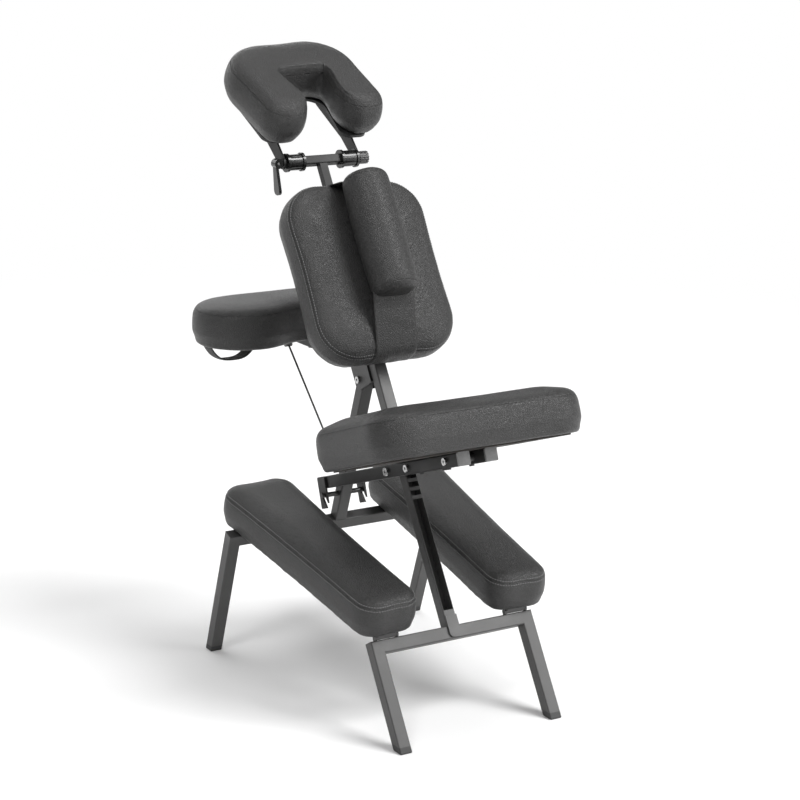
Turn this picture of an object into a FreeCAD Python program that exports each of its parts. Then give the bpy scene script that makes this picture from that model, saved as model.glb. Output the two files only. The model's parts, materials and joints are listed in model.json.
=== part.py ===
"""Folding massage chair: two hinged tube frames, padded rests and a face cradle.

Millimetres. +Z is up, +Y is the way the sitter faces, +X is the sitter's right.
The origin lies on the floor, under the middle of the chair's outer box.
"""
import FreeCAD, Part
import math
import os

from FreeCAD import Placement, Rotation, Vector

# Clearances
RUN = 0.05          # radial play of a pin in its bore
GAP = 0.3           # between faces of pieces that move past each other
SOFT = 0.3          # between a soft piece and what it lies on

# Square frame tube
TUBE = 25.0
WALL = 1.6
TUBE_CORNER = 2.5
FOOT_HEIGHT = 12.0
FOOT_ROUND = 2.0
PLUG_DEPTH = 24.0

# Rear frame and mast, in a frame that leans forward from the rear feet
REAR_LEAN = 31.3
REAR_HALF = 163.0
REAR_BAR_S = 193.6
MAST_TOP = 1085.0
SLOT_WIDTH = 21.0
SLOT_BOTTOM = 236.0
SLOT_TOP = 455.0
RUNG = 7.0
WINDOW = 10.0
WINDOWS = 3
TIE_WIDTH = 24.0
TIE_THICK = 4.0
TIE_ABOVE = 32.0
TIE_BELOW = 10.0
TIE_ROUND = 9.0

# Fold hinge at the top of the front frame
FOLD_S = 722.0
FOLD_F = 57.0
FOLD_R = 4.0
FRONT_LEAN = 20.8
FRONT_HALF = 236.5
FRONT_BAR_S = 283.5
STRUT_OVER = 13.0
SLEEVE_WALL = 3.0
BRACKET_WALL = 3.0
BRACKET_LOW = 702.0
BRACKET_HIGH = 778.0
BRACKET_REACH = 75.0
BRACKET_ROUND = 14.0
HEAD_THICK = 5.0
HEAD_OVER = 3.0
SOCKET_R = 3.0
SOCKET_DEPTH = 3.0

# Seat rails and seat
RAIL_TILT = 18.6
PIVOT_S = 518.5
PIVOT_R = 5.0
RAIL_GAP = 4.0
RAIL_REAR = 270.0
RAIL_FRONT = 290.0
CAP_THICK = 5.0
RAIL_BOLTS = (-79.0, -224.0)
BOLT_R = 4.0
SEAT_WIDTH = 435.0
SEAT_DEPTH = 310.0
SEAT_THICK = 88.0
SEAT_CORNER = 65.0
SEAT_CENTRE = -181.0
SEAT_SCREWS = (-195.0, -110.0)
CATCH_S = 355.0
CATCH_R = 5.0
CATCH_PLAY = 1.0
HOOK_WIDTH = 31.0
HOOK_THICK = 4.0
HOOK_DROP = 52.0
SEAT_RATIO = 1.2

# Shin rests
HINGE_F = -10.0
HINGE_RISE = 5.5
HINGE_R = 3.0
KNUCKLE_R = 5.0
KNUCKLE_WIDTH = 40.0
LUG_THICK = 4.0
LUG_R = 6.0
LEAF_THICK = 3.0
LEAF_REACH = 70.0
SHIN_LIFT = 7.5
SHIN_X = 141.0
SHIN_YAW = 3.0
SHIN_LENGTH = 540.0
SHIN_BACK = 23.0
SHIN_NEAR = 124.0
SHIN_FAR = 158.0
SHIN_THICK = 79.0
SHIN_CORNER = 40.0

# Chest rest with its sternum bolster
CHEST_S = 900.0
CHEST_WIDTH = 297.0
CHEST_HEIGHT = 357.0
CHEST_THICK = 80.0
CHEST_CORNER = 75.0
CHEST_PLATES = (800.0, 1000.0)
PLATE_WIDTH = 120.0
PLATE_HEIGHT = 30.0
PLATE_THICK = 3.0
PLATE_ROUND = 7.5
CHEST_SCREW_X = 42.0
STRAP_WIDTH = 94.0
STRAP_THICK = 2.7
ROLL_R = 44.0
ROLL_LOW = 826.0
ROLL_HIGH = 1066.0
ROLL_ROUND = 16.0
ROLL_BARREL = 2.0

# Armrest and its stay
ARM_S = 755.5
ARM_F = 52.0
ARM_R = 4.0
ARM_BAR = 20.0
ARM_BAR_OVER = 10.0
ARM_BAR_END = 772.0
ARM_WIDTH = 486.0
ARM_DEPTH = 200.0
ARM_THICK = 81.0
ARM_WAIST = 35.0
ARM_CENTRE_Y = 674.0
ARM_SCREWS = (655.0, 735.0)
HAND_LOOP = 100.0
HAND_SAG = 26.0
HAND_X = 173.0
HAND_WIDTH = 38.0
HAND_THICK = 2.0
STAY_Y = 757.0
STAY_DROP = 14.5
STAY_R = 2.0
STAY_PIN_R = 3.0
STAY_EYE_R = 6.0
STAY_EYE_WIDTH = 8.0
STAY_FOOT_R = 5.0
STAY_SEAT_S = 386.8
LUG_EAR = 3.0
CLIP_THICK = 3.0
CLIP_WIDTH = 20.0
CLIP_RAMP = 24.0
CLIP_CHEEK = 10.0

# Head post with its cross tube and clamp
POST = 16.0
POST_PLAY = 0.1
POST_HELD = 170.0
AXLE_RISE = 78.0
SLEEVE_DEPTH = 60.0
SLEEVE_RIM = 4.0
AXLE_R = 4.0
T_BAR = 18.0
T_HALF = 41.0
COLLAR_END = 79.0
COLLAR_R = 16.0
COLLAR_RIM_R = 18.5
COLLAR_RIM = 5.0
ARM_PLATE = 4.0
LINK_PLATE = 3.0
CAM_R = 9.5
CAM_OFFSET = 1.2
CAM_WIDTH = 18.0
CROSS_PIN_R = 2.5
LEVER_LENGTH = 62.0
LEVER_WIDTH = 24.0
LEVER_NECK = 13.0
LEVER_TIP = 9.0
LEVER_THICK = 6.0
LEVER_LEAN = -5.0
KNOB_R = 13.0
KNOB_LENGTH = 19.0
KNOB_GROOVES = 14
KNOB_GROOVE_R = 1.6
AXLE_END = 5.0

# Face cradle, in a frame tilted about the axle
CRADLE_TILT = 28.0
CRADLE_Q = 136.0
CRADLE_W = 32.5
FACE_WIDTH = 289.0
FACE_DEPTH = 252.0
FACE_THICK = 90.0
FACE_TUCK = 8.0
FACE_CROWN = 100.0
FACE_LOBE = 42.0
FACE_MOUTH = 62.0
FACE_MOUTH_BACK = 92.0
FACE_MOUTH_DEPTH = 138.0
FACE_INNER = 16.0
CRADLE_PLATE = 6.0
ARM_HEIGHT = 26.0
ARM_END_ROUND = 6.0
ARM_EYE_R = 12.0
ARM_FROM = 45.0
ARM_TO = 196.0
FLANGE = 15.0
FLANGE_THICK = 3.0
LINK_EYE_R = 8.0
RIVET = (62.0, 12.0)
RIVET_R = 3.5
RIVET_HEAD = 2.0

# Boards and screws shared by the padded rests
BOARD = 12.0
BOARD_INSET = 22.0
SCREW_R = 2.5
SCREW_HEAD_R = 5.0
SCREW_HEAD = 3.0
SCREW_BITE = 8.0

# Cushion side profiles: share of the thickness, and how far the outline draws in there
PAD_PROFILE = ((0.0, 4.0), (0.2, 0.5), (0.45, 0.0), (0.72, 1.0), (0.88, 5.0), (0.96, 12.0), (1.0, 28.0))
FACE_PROFILE = ((0.0, 12.0), (0.2, 3.0), (0.45, 0.0), (0.7, 3.0), (0.86, 9.0), (0.95, 19.0), (1.0, 34.0))
PAD_PULL = 2.5
MIN_CORNER = 1.0

# Limits of the drawing helpers
PARALLEL = 0.99     # least cosine between an edge and the axis it runs along
NO_LENGTH = 1e-6    # a shorter line is left out of an outline

# Places that follow from the sizes above
HALF = TUBE / 2
RAIL_X = TUBE + RAIL_GAP
RAIL_OUT = RAIL_X + HALF
BRACKET_OUT = HALF + RAIL_GAP - GAP
BRACKET_IN = BRACKET_OUT - BRACKET_WALL
POST_FOOT = MAST_TOP - POST_HELD
AXLE_S = MAST_TOP + AXLE_RISE
ARM_IN = COLLAR_END + GAP
KNOB_X = ARM_IN + ARM_PLATE + GAP
CAM_X = -(ARM_IN + LINK_PLATE + ARM_PLATE + GAP + CAM_R + CAM_OFFSET)
BIG = 2000.0
X_AXIS = Vector(1, 0, 0)


# Frames: each takes a shape drawn in a leaning frame and puts it in the chair
def turned(shape, degrees, y=0.0, z=0.0):
    """Turn a shape about X at the origin, then carry it to (y, z)."""
    leaned = shape.copy()
    turn = Placement(Vector(0, y, z), Rotation(X_AXIS, degrees))
    leaned.Placement = turn.multiply(leaned.Placement)
    return leaned


def point_at(degrees, y0, z0, f, s):
    """Chair position (y, z) of the point (f, s) in a frame turned about X at (y0, z0)."""
    angle = math.radians(degrees)
    y = y0 + f * math.cos(angle) - s * math.sin(angle)
    z = z0 + f * math.sin(angle) + s * math.cos(angle)
    return y, z


def point_in(degrees, y0, z0, y, z):
    """The reverse of point_at: the frame's own (f, s) of a chair position."""
    return point_at(-degrees, 0.0, 0.0, y - y0, z - z0)


FOLD_Y, FOLD_Z = point_at(-REAR_LEAN, 0.0, 0.0, FOLD_F, FOLD_S)
SPREAD = FOLD_Y + FOLD_Z * math.tan(math.radians(FRONT_LEAN))
STRUT_S = FOLD_Z / math.cos(math.radians(FRONT_LEAN))
PIVOT_Y, PIVOT_Z = point_at(-REAR_LEAN, 0.0, 0.0, 0.0, PIVOT_S)
ARM_Y, ARM_Z = point_at(-REAR_LEAN, 0.0, 0.0, ARM_F, ARM_S)
AXLE_Y, AXLE_Z = point_at(-REAR_LEAN, 0.0, 0.0, 0.0, AXLE_S)
HINGE_Y, HINGE_Z = point_at(-REAR_LEAN, 0.0, 0.0, HINGE_F, REAR_BAR_S + HALF + HINGE_RISE)
CATCH_Y, CATCH_Z = point_at(FRONT_LEAN, SPREAD, 0.0, 0.0, CATCH_S)
ARM_TOP = ARM_Z + ARM_BAR / 2
ARM_UNDER = ARM_Z - ARM_BAR / 2
STAY_Z = ARM_UNDER - STAY_DROP
FOOT_Y, FOOT_Z = point_at(FRONT_LEAN, SPREAD, 0.0, HALF + STAY_FOOT_R + GAP, STAY_SEAT_S)


def shin_slope():
    """Slope at which the shin rests lie on the top edge of the front crossbar."""
    edge_y, edge_z = point_at(FRONT_LEAN, SPREAD, 0.0, HALF, FRONT_BAR_S + HALF)
    along = edge_y - HINGE_Y
    rise = edge_z - HINGE_Z
    lift = SHIN_LIFT - SOFT
    return math.degrees(math.atan2(rise, along) - math.asin(lift / math.hypot(along, rise)))


SHIN_SLOPE = shin_slope()


def on_mast(shape):
    return turned(shape, -REAR_LEAN)


def on_front(shape):
    return turned(shape, FRONT_LEAN, SPREAD)


def on_rail(shape):
    return turned(shape, -RAIL_TILT, PIVOT_Y, PIVOT_Z)


def on_shin(shape):
    return turned(shape, SHIN_SLOPE, HINGE_Y, HINGE_Z)


def on_axle(shape):
    return turned(shape, 0.0, AXLE_Y, AXLE_Z)


def on_cradle(shape):
    return turned(shape, CRADLE_TILT, AXLE_Y, AXLE_Z)


# Plain solids
def block(x0, x1, y0, y1, z0, z1):
    return Part.makeBox(x1 - x0, y1 - y0, z1 - z0, Vector(x0, y0, z0))


def rod_x(radius, x0, x1, y=0.0, z=0.0):
    return Part.makeCylinder(radius, x1 - x0, Vector(x0, y, z), X_AXIS)


def rod_z(radius, z0, z1, x=0.0, y=0.0):
    return Part.makeCylinder(radius, z1 - z0, Vector(x, y, z0))


def rod_y(radius, y0, y1, x=0.0, z=0.0):
    return Part.makeCylinder(radius, y1 - y0, Vector(x, y0, z), Vector(0, 1, 0))


def slab_x(points, radii, x0, x1):
    """A plate across X, cut to an outline of (y, z) corners with rounded corners."""
    face = Part.Face(outline(points, radii, 0.0))
    face.rotate(Vector(0, 0, 0), Vector(1, 1, 1), 120)
    face.translate(Vector(x0, 0, 0))
    return face.extrude(Vector(x1 - x0, 0, 0))


def mirrored(shape):
    return shape.mirror(Vector(0, 0, 0), X_AXIS)


def both_sides(shape):
    return Part.makeCompound([shape, mirrored(shape)])


def joined(*shapes):
    """Fuse shapes into one clean solid."""
    fused = shapes[0]
    for shape in shapes[1:]:
        fused = fused.fuse(shape)
    return fused.removeSplitter()


def long_edges(shape, axis):
    """Straight edges of a box that run along one of its axes."""
    return [edge for edge in shape.Edges if abs(edge.tangentAt(edge.FirstParameter).dot(axis)) > PARALLEL]


def square_bar(size, z0, z1, corner):
    bar = block(-size / 2, size / 2, -size / 2, size / 2, z0, z1)
    return bar.makeFillet(corner, long_edges(bar, Vector(0, 0, 1)))


def square_tube(size, wall, z0, z1):
    inner = size / 2 - wall
    return square_bar(size, z0, z1, TUBE_CORNER).cut(block(-inner, inner, -inner, inner, z0, z1))


def along_x(shape):
    """Lay a shape drawn along Z along X."""
    laid = shape.copy()
    laid.rotate(Vector(0, 0, 0), Vector(0, 1, 0), 90)
    return laid


def along_y(shape):
    """Lay a shape drawn along Z along Y."""
    laid = shape.copy()
    laid.rotate(Vector(0, 0, 0), X_AXIS, -90)
    return laid


def moved(shape, x=0.0, y=0.0, z=0.0):
    shifted = shape.copy()
    shifted.translate(Vector(x, y, z))
    return shifted


def hex_x(radius, x0, x1, y, z):
    """A six-sided bar along X."""
    angles = [math.radians(60 * step) for step in range(7)]
    corners = [Vector(x0, y + radius * math.cos(a), z + radius * math.sin(a)) for a in angles]
    return Part.Face(Part.makePolygon(corners)).extrude(Vector(x1 - x0, 0, 0))


def bolt_x(radius, reach, y, z):
    """A bolt across X with a socket head on the left and a round nut of its size on the right."""
    end = reach + HEAD_THICK
    nut = rod_x(radius + HEAD_OVER, reach, end, y, z)
    bolt = joined(rod_x(radius, -reach, reach, y, z), nut, mirrored(nut))
    return bolt.cut(hex_x(SOCKET_R, -end, SOCKET_DEPTH - end, y, z))


# Outlines of lines and arcs
def inset_corners(points, inset):
    """Corners of a closed outline, drawn in by an even distance."""
    count = len(points)
    lines = []
    for index in range(count):
        start = Vector(*points[index])
        along = (Vector(*points[(index + 1) % count]) - start).normalize()
        lines.append((start + Vector(-along.y, along.x) * inset, along))
    corners = []
    for index in range(count):
        base, along = lines[index - 1]
        other, across = lines[index]
        share = (other - base).cross(across).z / along.cross(across).z
        corners.append(base + along * share)
    return corners


def outline(points, radii, z, inset=0.0, pull=0.0):
    """Closed wire through corners given anticlockwise, rounded, with sides that draw in by pull."""
    corners = inset_corners(points, inset)
    count = len(corners)
    arcs = []
    for index in range(count):
        here = corners[index]
        back = (corners[index - 1] - here).normalize()
        ahead = (corners[(index + 1) % count] - here).normalize()
        convex = back.cross(ahead).z < 0
        radius = max(radii[index] + (-inset if convex else inset), MIN_CORNER)
        half = back.getAngle(ahead) / 2
        middle = (back + ahead).normalize()
        reach = radius / math.tan(half)
        top = here + middle * (radius / math.sin(half) - radius)
        arcs.append((here + back * reach, top, here + ahead * reach))
    lift = Vector(0, 0, z)
    edges = []
    for index in range(count):
        start, top, end = arcs[index]
        following = arcs[(index + 1) % count][0]
        edges.append(Part.Arc(start + lift, top + lift, end + lift).toShape())
        along = following - end
        if along.Length < NO_LENGTH:
            continue
        if pull:
            sunk = (end + following) / 2 + Vector(-along.y, along.x).normalize() * pull
            edges.append(Part.Arc(end + lift, sunk + lift, following + lift).toShape())
        else:
            edges.append(Part.LineSegment(end + lift, following + lift).toShape())
    return Part.Wire(edges)


def taper(near, far, y0, y1):
    """Corners of a four-sided outline, near wide at y0 and far wide at y1."""
    return ((-near / 2, y0), (near / 2, y0), (far / 2, y1), (-far / 2, y1))


def arc_about(x, y, z, radius, start, end):
    """Arc about (x, y) at height z from one angle to another, in radians."""
    angles = (start, (start + end) / 2, end)
    places = [Vector(x + radius * math.cos(a), y + radius * math.sin(a), z) for a in angles]
    return Part.Arc(*places).toShape()


def bean(width, depth, waist, z, inset=0.0):
    """Kidney outline: two round lobes, a straight front and a hollow rear edge."""
    lobe = depth / 2
    reach = width / 2 - lobe
    drop = (reach ** 2 - waist ** 2) / (2 * waist)
    hollow = drop - lobe + waist + inset
    meet = math.atan2(drop, reach)
    front = lobe - inset
    half_turn = (math.pi * 3 / 2 - meet) / 2
    left_start = math.pi / 2
    right_start = math.pi + meet
    edges = [Part.LineSegment(Vector(reach, front, z), Vector(-reach, front, z)).toShape()]
    for step in range(2):
        start = left_start + step * half_turn
        edges.append(arc_about(-reach, 0, z, front, start, start + half_turn))
    edges.append(arc_about(0, -drop, z, hollow, math.pi - meet, meet))
    for step in range(2):
        start = right_start + step * half_turn
        edges.append(arc_about(reach, 0, z, front, start, start + half_turn))
    return Part.Wire(edges)


def cushion(draw, thick, grow=0.0, profile=PAD_PROFILE):
    """Crowned pad: a loft through outlines that draw in towards the face and the back."""
    levels = [draw(share * (thick + grow), inset - grow) for share, inset in profile]
    return Part.makeLoft(levels, True)


def board(draw):
    return Part.Face(draw(0.0, BOARD_INSET)).extrude(Vector(0, 0, BOARD))


# Rear frame and mast
def mitre_wedge(half, s, above):
    """Prism on one side of the mitre plane at the corner (half, s) of a frame."""
    reach = 2 * TUBE
    tip = (half - reach, s + reach) if above else (half + reach, s - reach)
    corners = [(half - reach, s - reach), (half + reach, s + reach), tip]
    wire = Part.makePolygon([Vector(x, -TUBE, z) for x, z in corners + corners[:1]])
    return Part.Face(wire).extrude(Vector(0, 2 * TUBE, 0))


def crossbar(half, s):
    bar = moved(along_x(square_tube(TUBE, WALL, -half - HALF, half + HALF)), z=s)
    wedge = mitre_wedge(half, s, False)
    return bar.cut([wedge, mirrored(wedge)])


def leg(half, s, place):
    """Right-hand leg, mitred into its crossbar and cut level above the foot."""
    tube = moved(square_tube(TUBE, WALL, -TUBE, s + HALF), x=half)
    tube = place(tube.cut(mitre_wedge(half, s, True)))
    return tube.cut(block(-BIG, BIG, -BIG, BIG, -BIG, FOOT_HEIGHT))


def foot(half, place):
    """Plastic foot, flat on the floor, with a plug that fills the leg's mouth."""
    shank = place(moved(square_bar(TUBE, -TUBE, 2 * TUBE, TUBE_CORNER), x=half))
    sole = shank.common(block(-BIG, BIG, -BIG, BIG, 0, FOOT_HEIGHT))
    rim = [edge for edge in sole.Edges if edge.BoundBox.ZMax < FOOT_HEIGHT / 2]
    sole = sole.makeFillet(FOOT_ROUND, rim)
    inner = TUBE / 2 - WALL - GAP
    plug = place(moved(block(-inner, inner, -inner, inner, 0, FOOT_HEIGHT + PLUG_DEPTH), x=half))
    plug = plug.common(block(-BIG, BIG, -BIG, BIG, FOOT_HEIGHT - FOOT_ROUND, BIG))
    return joined(sole, plug)


def mast_tube():
    """Mast whose rear wall opens in a long slot and a ladder of windows above it."""
    tube = square_tube(TUBE, WALL, REAR_BAR_S + HALF, MAST_TOP)
    side = SLOT_WIDTH / 2
    cuts = [block(-side, side, -TUBE, WALL - HALF, SLOT_BOTTOM, SLOT_TOP)]
    for index in range(WINDOWS):
        low = SLOT_TOP + RUNG + index * (RUNG + WINDOW)
        cuts.append(block(-side, side, -TUBE, WALL - HALF, low, low + WINDOW))
    cuts.append(rod_x(PIVOT_R + RUN, -TUBE, TUBE, 0, PIVOT_S))
    return on_mast(tube.cut(cuts))


def mast_tie_plate():
    """Plate that laps the mast's foot and the crossbar behind it."""
    corners = taper(TIE_WIDTH, TIE_WIDTH, REAR_BAR_S - TIE_BELOW, REAR_BAR_S + TIE_ABOVE)
    face = Part.Face(outline(corners, (TIE_ROUND, TIE_ROUND, MIN_CORNER, MIN_CORNER), 0.0))
    plate = face.extrude(Vector(0, 0, TIE_THICK))
    return on_mast(moved(turned(plate, 90), y=-HALF))


def fold_bracket():
    """Folded channel on the mast's front that holds the fold bolt and the armrest bolt."""
    corners = ((HALF, BRACKET_LOW), (BRACKET_REACH, BRACKET_LOW),
               (BRACKET_REACH, BRACKET_HIGH), (HALF, BRACKET_HIGH))
    rounds = (MIN_CORNER, BRACKET_ROUND, BRACKET_ROUND, MIN_CORNER)
    cheek = slab_x(corners, rounds, BRACKET_IN, BRACKET_OUT)
    web = block(-BRACKET_OUT, BRACKET_OUT, HALF, HALF + BRACKET_WALL, BRACKET_LOW, BRACKET_HIGH)
    bores = [rod_x(FOLD_R + RUN, -TUBE, TUBE, FOLD_F, FOLD_S), rod_x(ARM_R + RUN, -TUBE, TUBE, ARM_F, ARM_S)]
    return on_mast(joined(web, cheek, mirrored(cheek)).cut(bores))


def shin_hinge_lugs():
    """Pairs of ears on the rear crossbar, one pair for each shin rest."""
    top = REAR_BAR_S + HALF
    ears = []
    for side in (-1, 1):
        middle = SHIN_X + side * (KNUCKLE_WIDTH / 2 + GAP + LUG_THICK / 2)
        x0 = middle - LUG_THICK / 2
        x1 = middle + LUG_THICK / 2
        ear = joined(block(x0, x1, -HALF, HINGE_F + LUG_R, top, top + HINGE_RISE),
                     rod_x(LUG_R, x0, x1, HINGE_F, top + HINGE_RISE).cut(block(x0, x1, -BIG, BIG, -BIG, top)))
        ears.append(ear.cut(rod_x(HINGE_R + RUN, x0, x1, HINGE_F, top + HINGE_RISE)))
    return on_mast(Part.makeCompound(ears + [mirrored(ear) for ear in ears]))


def shin_hinge_pins():
    reach = KNUCKLE_WIDTH / 2 + GAP + LUG_THICK
    pin = rod_x(HINGE_R, SHIN_X - reach, SHIN_X + reach, HINGE_F, REAR_BAR_S + HALF + HINGE_RISE)
    return on_mast(both_sides(pin))


# Chest rest
def chest_outline(z, inset):
    corners = taper(CHEST_WIDTH, CHEST_WIDTH, -CHEST_HEIGHT / 2, CHEST_HEIGHT / 2)
    return outline(corners, (CHEST_CORNER,) * 4, z, inset, PAD_PULL)


def on_chest(shape):
    """Put a pad drawn on its back against the plates behind the mast."""
    return on_mast(moved(turned(shape, 90), y=-HALF - PLATE_THICK, z=CHEST_S))


def chest_screw_places():
    return [(side * CHEST_SCREW_X, s - CHEST_S) for s in CHEST_PLATES for side in (-1, 1)]


def chest_plates():
    plates = []
    for s in CHEST_PLATES:
        low = s - CHEST_S - PLATE_HEIGHT / 2
        corners = taper(PLATE_WIDTH, PLATE_WIDTH, low, low + PLATE_HEIGHT)
        face = Part.Face(outline(corners, (PLATE_ROUND,) * 4, -PLATE_THICK))
        holes = [rod_z(SCREW_R + RUN, -BOARD, BOARD, x, y) for x, y in chest_screw_places()]
        plates.append(on_chest(face.extrude(Vector(0, 0, PLATE_THICK)).cut(holes)))
    return Part.makeCompound(plates)


def chest_board():
    holes = [rod_z(SCREW_R + RUN, -BOARD, SCREW_BITE, x, y) for x, y in chest_screw_places()]
    return on_chest(board(chest_outline).cut(holes))


def chest_pad():
    return on_chest(cushion(chest_outline, CHEST_THICK).cut(board(chest_outline)))


def chest_screws():
    screws = []
    for x, y in chest_screw_places():
        head = rod_z(SCREW_HEAD_R, -PLATE_THICK - SCREW_HEAD, -PLATE_THICK, x, y)
        screws.append(on_chest(joined(rod_z(SCREW_R, -PLATE_THICK, SCREW_BITE, x, y), head)))
    return Part.makeCompound(screws)


def sternum_strap():
    """Covering strip that wraps the chest rest from top to bottom under the bolster."""
    side = STRAP_WIDTH / 2
    outer = cushion(chest_outline, CHEST_THICK, SOFT + STRAP_THICK)
    band = outer.cut(cushion(chest_outline, CHEST_THICK, SOFT))
    return on_chest(band.common(block(-side, side, -BIG, BIG, SOFT, BIG)))


def sternum_roll():
    """Round bolster, fullest in the middle, with rounded ends."""
    depth = HALF + PLATE_THICK + CHEST_THICK + STRAP_THICK + 2 * SOFT + ROLL_R
    rim = ROLL_R - ROLL_BARREL
    bend = ROLL_ROUND * (1 - math.cos(math.pi / 4))
    low = [Vector(0, 0, ROLL_LOW), Vector(rim - ROLL_ROUND, 0, ROLL_LOW),
           Vector(rim - bend, 0, ROLL_LOW + bend), Vector(rim, 0, ROLL_LOW + ROLL_ROUND)]
    high = [Vector(p.x, 0, ROLL_LOW + ROLL_HIGH - p.z) for p in low]
    full = Vector(ROLL_R, 0, (ROLL_LOW + ROLL_HIGH) / 2)
    edges = [Part.LineSegment(low[0], low[1]), Part.Arc(low[1], low[2], low[3]),
             Part.Arc(low[3], full, high[3]), Part.Arc(high[3], high[2], high[1]),
             Part.LineSegment(high[1], high[0]), Part.LineSegment(high[0], low[0])]
    section = Part.Face(Part.Wire([edge.toShape() for edge in edges]))
    roll = section.revolve(Vector(0, 0, 0), Vector(0, 0, 1), 360)
    return on_mast(moved(roll, y=-depth))


# Front frame
def front_strut():
    tube = square_tube(TUBE, WALL, FRONT_BAR_S + HALF, STRUT_S + STRUT_OVER)
    side = BRACKET_IN - GAP
    sleeve = rod_x(FOLD_R + SLEEVE_WALL, -side, side, 0, STRUT_S)
    bores = [rod_x(FOLD_R + RUN, -TUBE, TUBE, 0, STRUT_S), rod_x(CATCH_R + RUN, -TUBE, TUBE, 0, CATCH_S)]
    return on_front(joined(tube, sleeve).cut(bores))


def catch_pin():
    """Cross pin in the strut that the seat's hooks drop over."""
    reach = RAIL_OUT + 2 * HOOK_THICK
    return on_front(rod_x(CATCH_R, -reach, reach, 0, CATCH_S))


def stay_clip():
    """Ramp on the strut's front, square to the stay, with a cheek on each side of the stay's foot."""
    ball = Vector(HALF + STAY_FOOT_R + GAP, STAY_SEAT_S, 0)
    top = Vector(*point_in(FRONT_LEAN, SPREAD, 0.0, STAY_Y, STAY_Z), 0)
    thrust = (ball - top).normalize()
    touch = ball + thrust * (STAY_FOOT_R + GAP)
    down = Vector(-thrust.y, thrust.x, 0)
    ramp_top = touch - down * ((touch.x - HALF) / down.x)
    ramp_low = ramp_top + down * CLIP_RAMP
    side = CLIP_WIDTH / 2
    corners = [Vector(-side, ramp_top.x, ramp_top.y), Vector(-side, HALF, ramp_low.y),
               Vector(-side, ramp_low.x, ramp_low.y)]
    wedge = Part.Face(Part.makePolygon(corners + corners[:1])).extrude(Vector(CLIP_WIDTH, 0, 0))
    cheek = block(side - CLIP_THICK, side, HALF, HALF + CLIP_CHEEK, ramp_low.y, STAY_SEAT_S)
    return on_front(joined(wedge, cheek, mirrored(cheek)))


# Seat rails and seat
def seat_rail():
    """Right-hand rail, bored for its bolts."""
    tube = along_y(square_tube(TUBE, WALL, CAP_THICK - RAIL_REAR, RAIL_FRONT - CAP_THICK))
    cuts = [rod_x(PIVOT_R + RUN, -TUBE, TUBE)]
    cuts += [rod_x(BOLT_R + RUN, -TUBE, TUBE, y) for y in RAIL_BOLTS]
    cuts += [rod_z(SCREW_R + RUN, -TUBE, TUBE, 0, y) for y in SEAT_SCREWS]
    return on_rail(moved(tube.cut(cuts), x=RAIL_X))


def rail_end_caps():
    inner = HALF - WALL - GAP
    plug = block(-inner, inner, -inner, inner, 0, CAP_THICK + PLUG_DEPTH)
    cap = joined(square_bar(TUBE, 0, CAP_THICK, TUBE_CORNER), plug)
    rear = moved(along_y(cap), x=RAIL_X, y=-RAIL_REAR)
    front = moved(along_y(cap).mirror(Vector(0, 0, 0), Vector(0, 1, 0)), x=RAIL_X, y=RAIL_FRONT)
    caps = [rear, front, mirrored(rear), mirrored(front)]
    return on_rail(Part.makeCompound(caps))


def pivot_washers():
    washer = rod_x(PIVOT_R + SLEEVE_WALL, HALF + GAP, HALF + RAIL_GAP).cut(rod_x(PIVOT_R + RUN, 0, TUBE))
    return on_rail(both_sides(washer))


def rail_bolts():
    return on_rail(Part.makeCompound([bolt_x(BOLT_R, RAIL_OUT, y, 0) for y in RAIL_BOLTS]))


def rail_spacers():
    side = HALF + RAIL_GAP
    spacer = rod_x(BOLT_R + SLEEVE_WALL, -side, side).cut(rod_x(BOLT_R + RUN, -side, side))
    return on_rail(Part.makeCompound([moved(spacer, y=y) for y in RAIL_BOLTS]))


def catch_hooks():
    """Plates on the rails' front ends, notched along the path the catch pin leaves by."""
    pin_f, pin_s = point_in(-RAIL_TILT, PIVOT_Y, PIVOT_Z, CATCH_Y, CATCH_Z)
    leave_y = (CATCH_Z - FOLD_Z) + SEAT_RATIO * (CATCH_Z - PIVOT_Z)
    leave_z = -(CATCH_Y - FOLD_Y) - SEAT_RATIO * (CATCH_Y - PIVOT_Y)
    away_f, away_s = point_in(-RAIL_TILT, 0.0, 0.0, leave_y, leave_z)
    radius = CATCH_R + CATCH_PLAY
    x0 = RAIL_OUT
    x1 = RAIL_OUT + HOOK_THICK
    corners = ((RAIL_FRONT - HOOK_WIDTH, -HOOK_DROP), (RAIL_FRONT, -HOOK_DROP),
               (RAIL_FRONT, HALF), (RAIL_FRONT - HOOK_WIDTH, HALF))
    plate = slab_x(corners, (HOOK_THICK,) * 4, x0, x1)
    slot = block(x0, x1, 0, 2 * HOOK_DROP, -radius, radius)
    slot = turned(slot, math.degrees(math.atan2(away_s, away_f)), pin_f, pin_s)
    hook = plate.cut([rod_x(radius, x0, x1, pin_f, pin_s), slot])
    return on_rail(both_sides(hook))


def seat_outline(z, inset):
    corners = taper(SEAT_WIDTH, SEAT_WIDTH, -SEAT_DEPTH / 2, SEAT_DEPTH / 2)
    return outline(corners, (SEAT_CORNER,) * 4, z, inset, PAD_PULL)


def on_seat(shape):
    return on_rail(moved(shape, y=SEAT_CENTRE, z=HALF))


def seat_screw_places():
    return [(side * RAIL_X, y) for y in SEAT_SCREWS for side in (-1, 1)]


def seat_board():
    holes = [rod_z(SCREW_R + RUN, -TUBE, HALF + SCREW_BITE, x, y) for x, y in seat_screw_places()]
    return on_rail(moved(board(seat_outline), y=SEAT_CENTRE, z=HALF).cut(holes))


def seat_pad():
    return on_seat(cushion(seat_outline, SEAT_THICK).cut(board(seat_outline)))


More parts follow.
